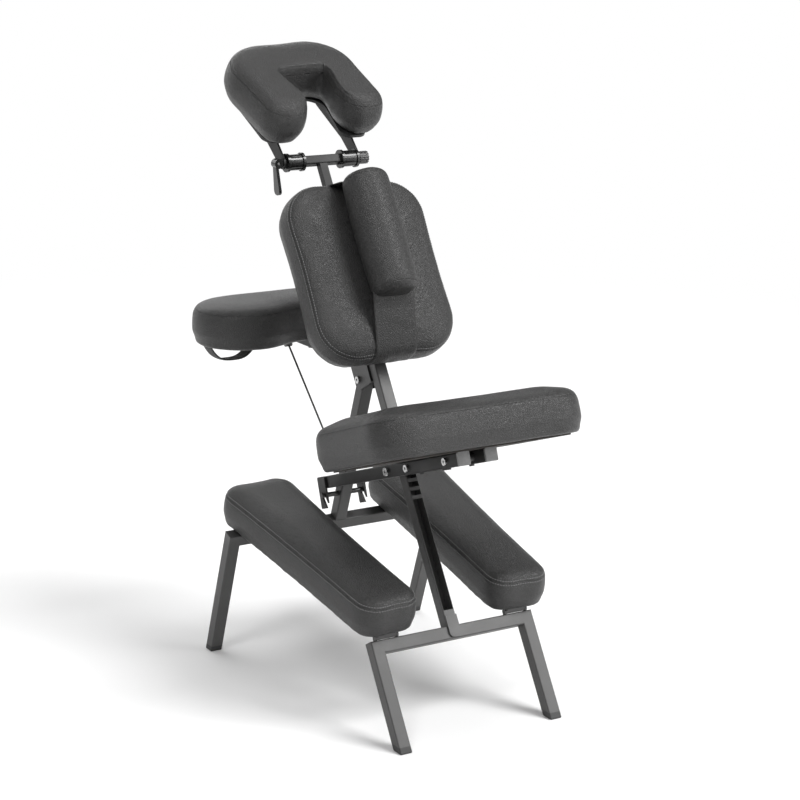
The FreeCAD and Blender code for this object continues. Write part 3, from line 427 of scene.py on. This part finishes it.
def floor_finish():
    """A pale surface near the chair, mixed into plain white further out."""
    material, shader, place = new_finish("pale_floor", {"Specular IOR Level": 0.1})
    mottle = place.noise(1.5, 3.0)
    tone = mottle.mix(grey(0.96), grey(0.99))
    varied(shader, place, {"Base Color": tone, "Roughness": 0.8}, mottle, 0.0002)
    rays = [place.node("ShaderNodeLightPath", {}, {}, "Is " + kind + " Ray")
            for kind in ("Camera", "Glossy", "Transmission")]
    seen = rays[0].math("MAXIMUM", rays[0], rays[1].math("MAXIMUM", rays[1], rays[2]))
    away = place.node("ShaderNodeVectorMath", {"operation": "LENGTH"}, {0: place}, "Value")
    white = place.node("ShaderNodeEmission", {}, {"Color": (1, 1, 1, 1), "Strength": 1.0})
    faded = place.node("ShaderNodeMixShader", {}, {0: away.step(FADE_START, FADE_END) * seen,
                                                   1: Wire(place.tree, shader.outputs[0]), 2: white})
    place.feed(place.tree.nodes["Material Output"].inputs["Surface"], faded)
    return material


floor.data.materials.append(floor_finish())
print("floor fades to white from", FADE_START, "to", FADE_END, "m")

# %% [markdown]
# ## How a pad is made
# A real pad is foam on a board under a sewn cover: a face panel and a side band joined by one seam.
# The plain solid is copied, drawn in a little, rebuilt in even squares and blown up as cloth. The
# back stays pinned to the board and the seam holds the cover in, so the face crowns and the band
# swells between them, as tight leather does.

# %% How a pad is made
VOXEL = 0.005               # side of the squares
BACK = 0.014                # height above the board that is pinned
SEAM_HOLD = 0.006           # how far from the seam its hold is felt
SEAM_GRIP = 0.7             # 1 would pin it
FRAMES = 20


def facing(degrees):
    """The way a pad faces when it is turned about X by that angle."""
    return Matrix.Rotation(math.radians(degrees), 3, "X") @ Vector((0, 0, 1))


def settle(piece):
    """Keep what the modifiers made, and drop them."""
    graph = bpy.context.evaluated_depsgraph_get()
    settled = bpy.data.meshes.new_from_object(piece.evaluated_get(graph))
    piece.modifiers.clear()
    piece.data = settled


def foam_blank(name, node, draw_in):
    """The pad's solid in even squares, a little smaller than the finished pad."""
    shape = bmesh.new()
    shape.from_mesh(nodes[node].data)
    bmesh.ops.remove_doubles(shape, verts=shape.verts, dist=1e-5)
    bmesh.ops.recalc_face_normals(shape, faces=shape.faces)
    blank = new_piece(name, shape)
    squares = blank.modifiers.new("squares", "REMESH")
    squares.mode = "VOXEL"
    squares.voxel_size = VOXEL
    settle(blank)
    inward = [vertex.normal * -draw_in for vertex in blank.data.vertices]
    for vertex, move in zip(blank.data.vertices, inward):
        vertex.co += move
    return blank


def blow_up(blank, hold, pressure, cap):
    """Fill a cover with air for a moment; hold says how firmly each point is kept."""
    rest = [vertex.co.copy() for vertex in blank.data.vertices]
    held = blank.vertex_groups.new(name="held")
    for vertex in blank.data.vertices:
        held.add([vertex.index], hold(vertex.co), "REPLACE")
    cloth = blank.modifiers.new("cover", "CLOTH")
    cloth.settings.use_pressure = True
    cloth.settings.uniform_pressure_force = pressure
    cloth.settings.vertex_group_mass = "held"
    cloth.settings.effector_weights.gravity = 0
    cloth.point_cache.frame_end = FRAMES
    for number in range(1, FRAMES + 1):
        scene.frame_set(number)
    settle(blank)
    scene.frame_set(1)
    for vertex, start in zip(blank.data.vertices, rest):
        move = vertex.co - start
        if move.length > cap:
            vertex.co = start + move * (cap / move.length)
    blank.vertex_groups.clear()


def relax(piece, turns):
    """Even out the small dents that the cloth leaves."""
    shape = bmesh.new()
    shape.from_mesh(piece.data)
    for turn in range(turns):
        bmesh.ops.smooth_vert(shape, verts=shape.verts, factor=0.5,
                              use_axis_x=True, use_axis_y=True, use_axis_z=True)
    shape.to_mesh(piece.data)
    shape.free()


def refine(piece):
    """One level of subdivision, kept."""
    finer = piece.modifiers.new("finer", "SUBSURF")
    finer.levels = finer.render_levels = 1
    settle(piece)


def smooth(shape):
    """Shade every face of a bmesh smoothly."""
    for face in shape.faces:
        face.smooth = True


def thicken(piece, thickness):
    """Give a flat band its thickness, half to each side."""
    walls = piece.modifiers.new("thickness", "SOLIDIFY")
    walls.thickness = thickness
    walls.offset = 0.0
    settle(piece)


def finish_pad(piece, body, node):
    """Cover a pad in leather and let it ride on its body in the solid's place."""
    for face in piece.data.polygons:
        face.use_smooth = True
    piece.data.materials.clear()
    piece.data.materials.append(leather)
    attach(piece, body)
    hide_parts(node)


print("pads are rebuilt in", VOXEL * 1000, "mm squares")

# %% [markdown]
# ## Seams and stitches
# The seam is cut into the mesh as exact loops, so that the groove stays a clean line whatever the
# squares around it do. Each topstitch is a tiny rounded bead that lies along the loop beside the
# groove.

# %% Seams and stitches
GROOVE = 0.0012                       # depth
GROOVE_SIDE = 0.0016                  # half the width
STITCH_PITCH = 0.0052
STITCH = (0.0021, 0.0008, 0.0007)     # half lengths of a bead
ROW_OFFSET = 0.0036                   # from the groove to a row of stitches


def seam_groove(piece, up, height):
    """Press a groove where the plane at that height along up meets the cover."""
    shape = bmesh.new()
    shape.from_mesh(piece.data)
    for offset in (-GROOVE_SIDE, GROOVE_SIDE, 0.0):
        everything = shape.verts[:] + shape.edges[:] + shape.faces[:]
        cut = bmesh.ops.bisect_plane(shape, geom=everything, dist=1e-6,
                                     plane_co=up * (height + offset), plane_no=up)
    shape.normal_update()
    seam = [item for item in cut["geom_cut"] if isinstance(item, bmesh.types.BMVert)]
    inward = [(vertex, vertex.normal * -GROOVE) for vertex in seam]
    for vertex, move in inward:
        vertex.co += move
    shape.to_mesh(piece.data)
    shape.free()


def loops_at(piece, up, height):
    """Ordered rings of points where a plane cuts the piece."""
    shape = bmesh.new()
    shape.from_mesh(piece.data)
    shape.normal_update()
    everything = shape.verts[:] + shape.edges[:] + shape.faces[:]
    cut = bmesh.ops.bisect_plane(shape, geom=everything, dist=1e-6, plane_co=up * height, plane_no=up)
    shape.normal_update()
    edges = dict.fromkeys(item for item in cut["geom_cut"] if isinstance(item, bmesh.types.BMEdge))
    rings = []
    while edges:
        edge, _ = edges.popitem()
        start, here = edge.verts
        ring = [start]
        while here is not start:
            ring.append(here)
            ahead = [other for other in here.link_edges if other in edges]
            if not ahead:
                break
            del edges[ahead[0]]
            here = ahead[0].other_vert(here)
        rings.append([vertex.co.copy() for vertex in ring])
    shape.free()
    return rings


def stitch_row(name, ring):
    """One bead repeated at an even pitch and bent along a ring."""
    path = bpy.data.curves.new(name, "CURVE")
    path.dimensions = "3D"
    line = path.splines.new("POLY")
    line.points.add(len(ring) - 1)
    line.use_cyclic_u = True
    for point, place in zip(line.points, ring):
        point.co = (*place, 1)
    guide = bpy.data.objects.new(name + "_guide", path)
    scene.collection.objects.link(guide)
    shape = bmesh.new()
    bmesh.ops.create_uvsphere(shape, u_segments=6, v_segments=4, radius=1,
                              matrix=Matrix.Diagonal((*STITCH, 1)))
    row = new_piece(name, shape)
    repeat = row.modifiers.new("repeat", "ARRAY")
    repeat.fit_type = "FIT_CURVE"
    repeat.curve = guide
    repeat.use_relative_offset = False
    repeat.use_constant_offset = True
    repeat.constant_offset_displace = (STITCH_PITCH, 0, 0)
    row.modifiers.new("bend", "CURVE").object = guide
    settle(row)
    bpy.data.objects.remove(guide)
    return row


def topstitch(name, piece, body, up, heights):
    """Rows of stitches at those heights, gathered into one piece."""
    shape = bmesh.new()
    for height in heights:
        for ring in loops_at(piece, up, height):
            row = stitch_row(name + "_row", ring)
            shape.from_mesh(row.data)
            bpy.data.objects.remove(row)
    smooth(shape)
    rows = new_piece(name, shape)
    rows.data.materials.append(thread)
    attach(rows, body)
    return rows


print("stitches every", STITCH_PITCH * 1000, "mm")

# %% [markdown]
# ## The horseshoe cushion
# The plain horseshoe has one soft rounding all over. On the real cushion the mouth's inner wall is
# crisp and sewn at its top, the crown is fuller, and the whole cushion sits a little askew on its
# plate, which holds it by a patch of hook-and-loop tape. Each is a small shift of the points, worked
# out in the cradle's own frame.

# %% The horseshoe cushion
CRADLE_TURN = 28.0          # lean of the cradle, in degrees
CRADLE_OUT = 0.136          # from the axle to the cushion's middle
CRADLE_UP = 0.0325          # from the axle to the cushion's back
FACE_THICK = 0.090
FACE_HALF = 0.126           # from the middle to the lobes' ends
MOUTH_FRONT = 0.031         # half widths of the plain mouth
MOUTH_BACK = 0.046
MOUTH_WALL = 0.012          # from the middle to the mouth's back wall
MOUTH_REACH = 0.060         # how far from the mouth its shifts are felt
MOUTH_KEEP = 0.4            # share of the plain rounding that stays
MOUTH_UNDERCUT = 0.008
MOUTH_WIDER = 0.009
MOUTH_PINCH = 0.009
CROWN_FULL = 0.006
CROWN_START = 0.08          # from the middle, where the filling out begins
ASKEW = math.radians(5.0)
# share of the thickness, and how far the plain edge draws in there
ROUNDING = ((0.45, 0.0), (0.70, 0.003), (0.86, 0.009), (0.95, 0.019), (1.0, 0.034))


def rounding(share):
    """How far the plain solid's edge draws in at a share of its thickness."""
    for (low, before), (high, after) in zip(ROUNDING, ROUNDING[1:]):
        if share <= high:
            return before + (after - before) * max(0.0, share - low) / (high - low)
    return ROUNDING[-1][1]


def mouth_shift(x, out, share):
    """Move a point to or from the mouth, whose inner wall is flat and sewn at its top."""
    drawn = rounding(share)
    along = (min(out, MOUTH_WALL) + FACE_HALF) / (MOUTH_WALL + FACE_HALF)
    beside = max(0.0, abs(x) - MOUTH_FRONT - (MOUTH_BACK - MOUTH_FRONT) * along)
    behind = max(0.0, out - MOUTH_WALL)
    away = math.hypot(beside, behind)
    if away == 0.0 or away > MOUTH_REACH:
        return Vector((0, 0, 0))
    if share < ROUNDING[0][0]:
        low = 1 - max(share, 0.0) / ROUNDING[0][0]
        moved = MOUTH_UNDERCUT * low * low * (1 - away / MOUTH_REACH)
    else:
        stretch = (MOUTH_REACH - MOUTH_KEEP * drawn) / (MOUTH_REACH - drawn)
        kept = MOUTH_KEEP * drawn
        moved = max(kept + (away - drawn) * stretch, away - drawn + kept) - away
    return Vector((math.copysign(beside, x), behind, 0)) * (moved / away)


def mouth_wider(x, out):
    """Push the mouth's sides apart at its back, and the lobes together in front."""
    along = max(0.0, min(1.0, (out + FACE_HALF) / (MOUTH_WALL + FACE_HALF)))
    behind = max(0.0, 1 - max(0.0, out - MOUTH_WALL) / MOUTH_REACH)
    beside = min(abs(x) / MOUTH_BACK, max(0.0, 1 - (abs(x) - MOUTH_BACK) / MOUTH_REACH))
    spread = MOUTH_WIDER * along ** 2 - MOUTH_PINCH * (1 - along) ** 2
    return Vector((math.copysign(spread * behind * beside, x) if x else 0.0, 0, 0))


def crown_shift(x, out):
    """Fill out the two corners at the crown of the horseshoe."""
    reach = math.hypot(x, out)
    if out < 0 or reach < CROWN_START:
        return Vector((0, 0, 0))
    corner = math.sin(2 * math.atan2(out, abs(x))) ** 2
    return Vector((x, out, 0)) * (CROWN_FULL * corner * (1 - CROWN_START / reach) * 2 / reach)


def shape_horseshoe(pad):
    """Give the plain horseshoe its crisp mouth and full crown, then turn it on its plate."""
    joint = next(joint for joint in record["behaviour"]["joints"] if joint["name"] == "cradle_tilt")
    lean = Matrix.Rotation(math.radians(CRADLE_TURN), 3, "X")
    turn = Matrix.Rotation(ASKEW, 3, "Z")
    middle = Vector(joint["pos_m"]) + lean @ Vector((0, CRADLE_OUT, 0))
    for vertex in pad.data.vertices:
        place = lean.transposed() @ (vertex.co - middle)
        x, out, rise = place
        share = (rise - CRADLE_UP) / FACE_THICK
        place += mouth_shift(x, out, share) + mouth_wider(x, out) + crown_shift(x, out)
        vertex.co = middle + lean @ (turn @ place)


print("mouth", 2000 * MOUTH_FRONT, "mm wide in front,", 2000 * MOUTH_BACK, "mm at the wall")

# %% [markdown]
# ## Seat, shin rests, chest rest, armrest and face cradle
# All six pads share one way of making. What differs is the way that they face (turn), how high the
# seam sits on the side (seam), how far the air and the foam may swell (cap, plump), and whether the
# seam shows its stitches (sewn). A slow ripple over each face keeps the highlights from looking
# machined, and short puckers gather beside the seam.

# %% The pads
PADS = {
    "seat": dict(body="seat", node="seat_pad", turn=-18.6, seam=0.82, cap=0.006, plump=0.004,
                 fill=0.8, sewn=False),
    "chest": dict(body="mast_frame", node="chest_pad", turn=58.7, seam=0.80, cap=0.003, plump=0.003,
                  fill=0.8),
    "shin_left": dict(body="shin_left", node="shin_pad_left", turn=10.99, seam=0.82, cap=0.004,
                      plump=0.003, fill=0.8),
    "shin_right": dict(body="shin_right", node="shin_pad_right", turn=10.99, seam=0.82, cap=0.004,
                       plump=0.003, fill=0.8),
    "armrest": dict(body="armrest", node="armrest_pad", turn=0.0, seam=0.90, cap=0.004, plump=0.004,
                    fill=0.8, sewn=False),
    "face": dict(body="face_cradle", node="face_cushion", turn=CRADLE_TURN, seam=0.80, cap=0.004,
                 plump=0.002, fill=0.7, sewn=False, shaper=shape_horseshoe),
}
DRAW_IN = 0.0015            # before the air goes in
PRESSURE = 4.0
PUCKER = 0.0003
PUCKER_SCALE = 95.0
PUCKER_REACH = 0.012
RIPPLE = 0.0004
RIPPLE_SCALE = 14.0
DENT_TURNS = 10             # turns of smoothing


def ruffle(piece, up, seam):
    """Slow ripples everywhere, and puckers across the seam that fade with distance."""
    moves = []
    for vertex in piece.data.vertices:
        away = abs(vertex.co.dot(up) - seam) / PUCKER_REACH
        ripple = noise.noise(vertex.co * RIPPLE_SCALE) * RIPPLE
        pucker = noise.noise(vertex.co * PUCKER_SCALE) * PUCKER * math.exp(-away * away)
        moves.append(vertex.normal * (ripple + pucker))
    for vertex, move in zip(piece.data.vertices, moves):
        vertex.co += move


def make_pad(name, body, node, turn, seam, cap, plump, fill, sewn=True, shaper=None):
    """Blank, blow up, smooth, plump, shape, refine, groove and stitch one pad."""
    up = facing(turn)
    pad = foam_blank(name + "_upholstery", node, DRAW_IN)
    heights = [vertex.co.dot(up) for vertex in pad.data.vertices]
    back = min(heights)
    seam_height = back + (max(heights) - back) * seam

    def hold(place):
        height = place.dot(up)
        if height < back + BACK:
            return 1.0
        return SEAM_GRIP * max(0.0, 1 - abs(height - seam_height) / SEAM_HOLD)

    blow_up(pad, hold, PRESSURE, cap)
    relax(pad, DENT_TURNS)
    outward = [vertex.normal * plump for vertex in pad.data.vertices]
    for vertex, move in zip(pad.data.vertices, outward):
        vertex.co += move * min(1.0, max(0.0, (vertex.co.dot(up) - back - BACK) / BACK))
    if shaper:
        shaper(pad)
    refine(pad)
    ruffle(pad, up, seam_height)
    seam_groove(pad, up, seam_height)
    finish_pad(pad, body, node)
    if sewn:
        rows = (seam_height - ROW_OFFSET, seam_height + ROW_OFFSET)
        topstitch(name + "_stitching", pad, body, up, rows)
    print(name, "pad:", len(pad.data.polygons), "faces, seam at", round(seam_height - back, 3))
    return pad


cushions = {name: make_pad(name, **facts) for name, facts in PADS.items()}

# %% [markdown]
# ## Sternum bolster
# The bolster is a firm roll on a strip of the same leather that wraps the chest rest from top to
# bottom. The roll is blown up like the pads, with a seam round each end.

# %% Sternum bolster
MAST_TURN = -31.3           # lean of the mast, in degrees
ROLL_SEAM = 0.012           # from an end to its seam
ROLL_GROW = 0.0035
ROLL_PRESSURE = 2.0
ROLL_CAP = 0.003


def make_roll():
    """The bolster: blown up along its length, with a seam round each end."""
    along = facing(MAST_TURN)
    roll = foam_blank("sternum_bolster", "sternum_roll", -ROLL_GROW)
    heights = [vertex.co.dot(along) for vertex in roll.data.vertices]
    ends = (min(heights) + ROLL_SEAM, max(heights) - ROLL_SEAM)

    def hold(place):
        height = place.dot(along)
        return SEAM_GRIP * max(0.0, 1 - min(abs(height - end) for end in ends) / SEAM_HOLD)

    blow_up(roll, hold, ROLL_PRESSURE, ROLL_CAP)
    refine(roll)
    for end in ends:
        ruffle(roll, along, end)
        seam_groove(roll, along, end)
    finish_pad(roll, "mast_frame", "sternum_roll")
    return roll


bolster = make_roll()
print("bolster", len(bolster.data.polygons), "faces")

# %% [markdown]
# ## The strip under the bolster
# The strip is stretched, so seen from the side it runs straight from one support to the next. That
# line is the convex hull of the chest cushion's middle section and of the two points where the roll
# holds the strip out. A flat grid is bent along it, creased where it hangs loose, and thickened.

# %% The strip under the bolster
STRIP_WIDTH = 0.088
STRIP_THICK = 0.0018
STRIP_LIFT = 0.0012         # above the cushion
STRIP_BACK = 0.008          # from the board to the strip's ends
STRIP_TENT = 0.034          # how far the roll holds the strip out
STRIP_ROWS = 130
STRIP_COLUMNS = 20
CREASE = 0.0022
CREASE_ACROSS = 28.0
CREASE_ALONG = 0.11
CREASE_SLICE = 3.0          # which slice of the noise is taken
LOOSE_BELOW = 0.45          # share of the length that is loose at the bottom
LOOSE_ABOVE = 0.2           # and at the top


def strip_path():
    """The strip's middle line from bottom to top, as levels along the mast and depths before it."""
    up = facing(PADS["chest"]["turn"])
    rise = facing(MAST_TURN)
    ring = max(loops_at(cushions["chest"], Vector((1, 0, 0)), 0.0), key=len)
    section = [(place.dot(rise), place.dot(up)) for place in ring]
    back = min(depth for level, depth in section)
    face = max(depth for level, depth in section)
    ends = [vertex.co.dot(rise) for vertex in bolster.data.vertices]
    props = (min(ends) + ROLL_SEAM, max(ends) - ROLL_SEAM)
    section += [(level, face + STRIP_TENT) for level in props]
    hull = [section[index] for index in convex_hull_2d(section)]
    middle = sum(ends) / len(ends)
    low = [point for point in hull if point[1] > back + STRIP_BACK and point[0] < middle]
    first = min(low, key=lambda point: point[1])
    start = hull.index(first)
    turned = hull[start:] + hull[:start]
    if turned[1][1] < first[1]:
        turned = [first] + turned[:0:-1]
    path = [Vector(point) for point in turned if point[1] > back + STRIP_BACK]
    return up, rise, path


def even_path(path, count):
    """That many points at an even pitch along a line of points, with their directions."""
    steps = [(after - before).length for before, after in zip(path, path[1:])]
    pitch = sum(steps) / (count - 1)
    points = []
    walked = 0.0
    index = 0
    for number in range(count):
        while index < len(steps) - 1 and walked + steps[index] < number * pitch:
            walked += steps[index]
            index += 1
        along = (path[index + 1] - path[index]).normalized()
        points.append((path[index] + along * (number * pitch - walked), along))
    return points, pitch * (count - 1)


def make_strip():
    """A grid bent along the path, creased at its ends, then given thickness."""
    up, rise, path = strip_path()
    points, length = even_path(path, STRIP_ROWS + 1)
    shape = bmesh.new()
    bmesh.ops.create_grid(shape, x_segments=STRIP_COLUMNS, y_segments=STRIP_ROWS, size=0.5)
    for vertex in shape.verts:
        row = min(STRIP_ROWS, max(0, round((vertex.co.y + 0.5) * STRIP_ROWS)))
        (level, depth), along = points[row]
        outward = up * along.x - rise * along.y
        share = row / STRIP_ROWS
        loose = max(0.0, 1 - share / LOOSE_BELOW) + max(0.0, 1 - (1 - share) / LOOSE_ABOVE)
        across = vertex.co.x * STRIP_WIDTH
        wave = noise.noise(Vector((across * CREASE_ACROSS, row * CREASE_ALONG, CREASE_SLICE)))
        lift = STRIP_LIFT + abs(wave) * CREASE * min(1.0, 2 * loose)
        vertex.co = rise * level + up * depth + outward * lift + Vector((across, 0, 0))
    bmesh.ops.smooth_vert(shape, verts=shape.verts, factor=0.5,
                          use_axis_x=False, use_axis_y=True, use_axis_z=True)
    bmesh.ops.recalc_face_normals(shape, faces=shape.faces)
    smooth(shape)
    strip = new_piece("bolster_strip", shape)
    thicken(strip, STRIP_THICK)
    strip.data.materials.append(leather)
    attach(strip, "mast_frame")
    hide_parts("sternum_strap")
    print("strip path", round(length, 3), "m")
    return strip


strip = make_strip()
print("strip", len(strip.data.polygons), "faces")

# %% [markdown]
# ## Hand loops
# Two loops of webbing hang under the lobes of the armrest for the sitter's hands. Webbing keeps its
# width, so each loop is one flat band bent along a hanging arc, with a soft roll across its edges.

# %% Hand loops
LOOP_THICK = 0.0024
LOOP_SLACK = 0.007          # deeper than the plain strap
LOOP_FULL = 3               # 2 is a parabola, and more is rounder
LOOP_LEAN = 0.12
LOOP_CURL = 0.0012          # how far the edges roll up
LOOP_GRID = (40, 8)


def make_loops():
    """Both loops in one mesh, hung between the ends of the plain straps."""
    low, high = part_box("hand_straps")
    width = high.y - low.y
    inner = min(abs(vertex.co.x) for vertex in nodes["hand_straps"].data.vertices)
    span = high.x - inner - LOOP_THICK
    sag = high.z - low.z - LOOP_THICK + LOOP_SLACK
    shape = bmesh.new()
    for side in (-1, 1):
        middle = Vector((side * (high.x + inner) / 2, (low.y + high.y) / 2, high.z))
        made = bmesh.ops.create_grid(shape, x_segments=LOOP_GRID[0], y_segments=LOOP_GRID[1], size=0.5)
        for vertex in made["verts"]:
            along, across = 2 * vertex.co.x, vertex.co.y
            droop = sag * (1 - abs(along) ** LOOP_FULL) * (1 + LOOP_LEAN * across)
            curl = LOOP_CURL * (2 * across) ** 2
            vertex.co = middle + Vector((along * span / 2, across * width, curl - droop))
    bmesh.ops.recalc_face_normals(shape, faces=shape.faces)
    smooth(shape)
    loops = new_piece("hand_loops", shape)
    thicken(loops, LOOP_THICK)
    loops.data.materials.append(finishes["webbing"])
    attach(loops, "armrest")
    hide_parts("hand_straps")
    return loops


hand_loops = make_loops()
print("hand loops", len(hand_loops.data.polygons), "faces")

# %% [markdown]
# ## Checking the size
# Upholstery may stand a little proud of the solids, but the chair must not grow. The growth of the
# whole box over the solids' box is printed.

# %% Checking the size
low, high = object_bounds()
growth = (high - low) - (cad_high - cad_low)
print("grown by", [round(1000 * side, 1) for side in growth], "mm")
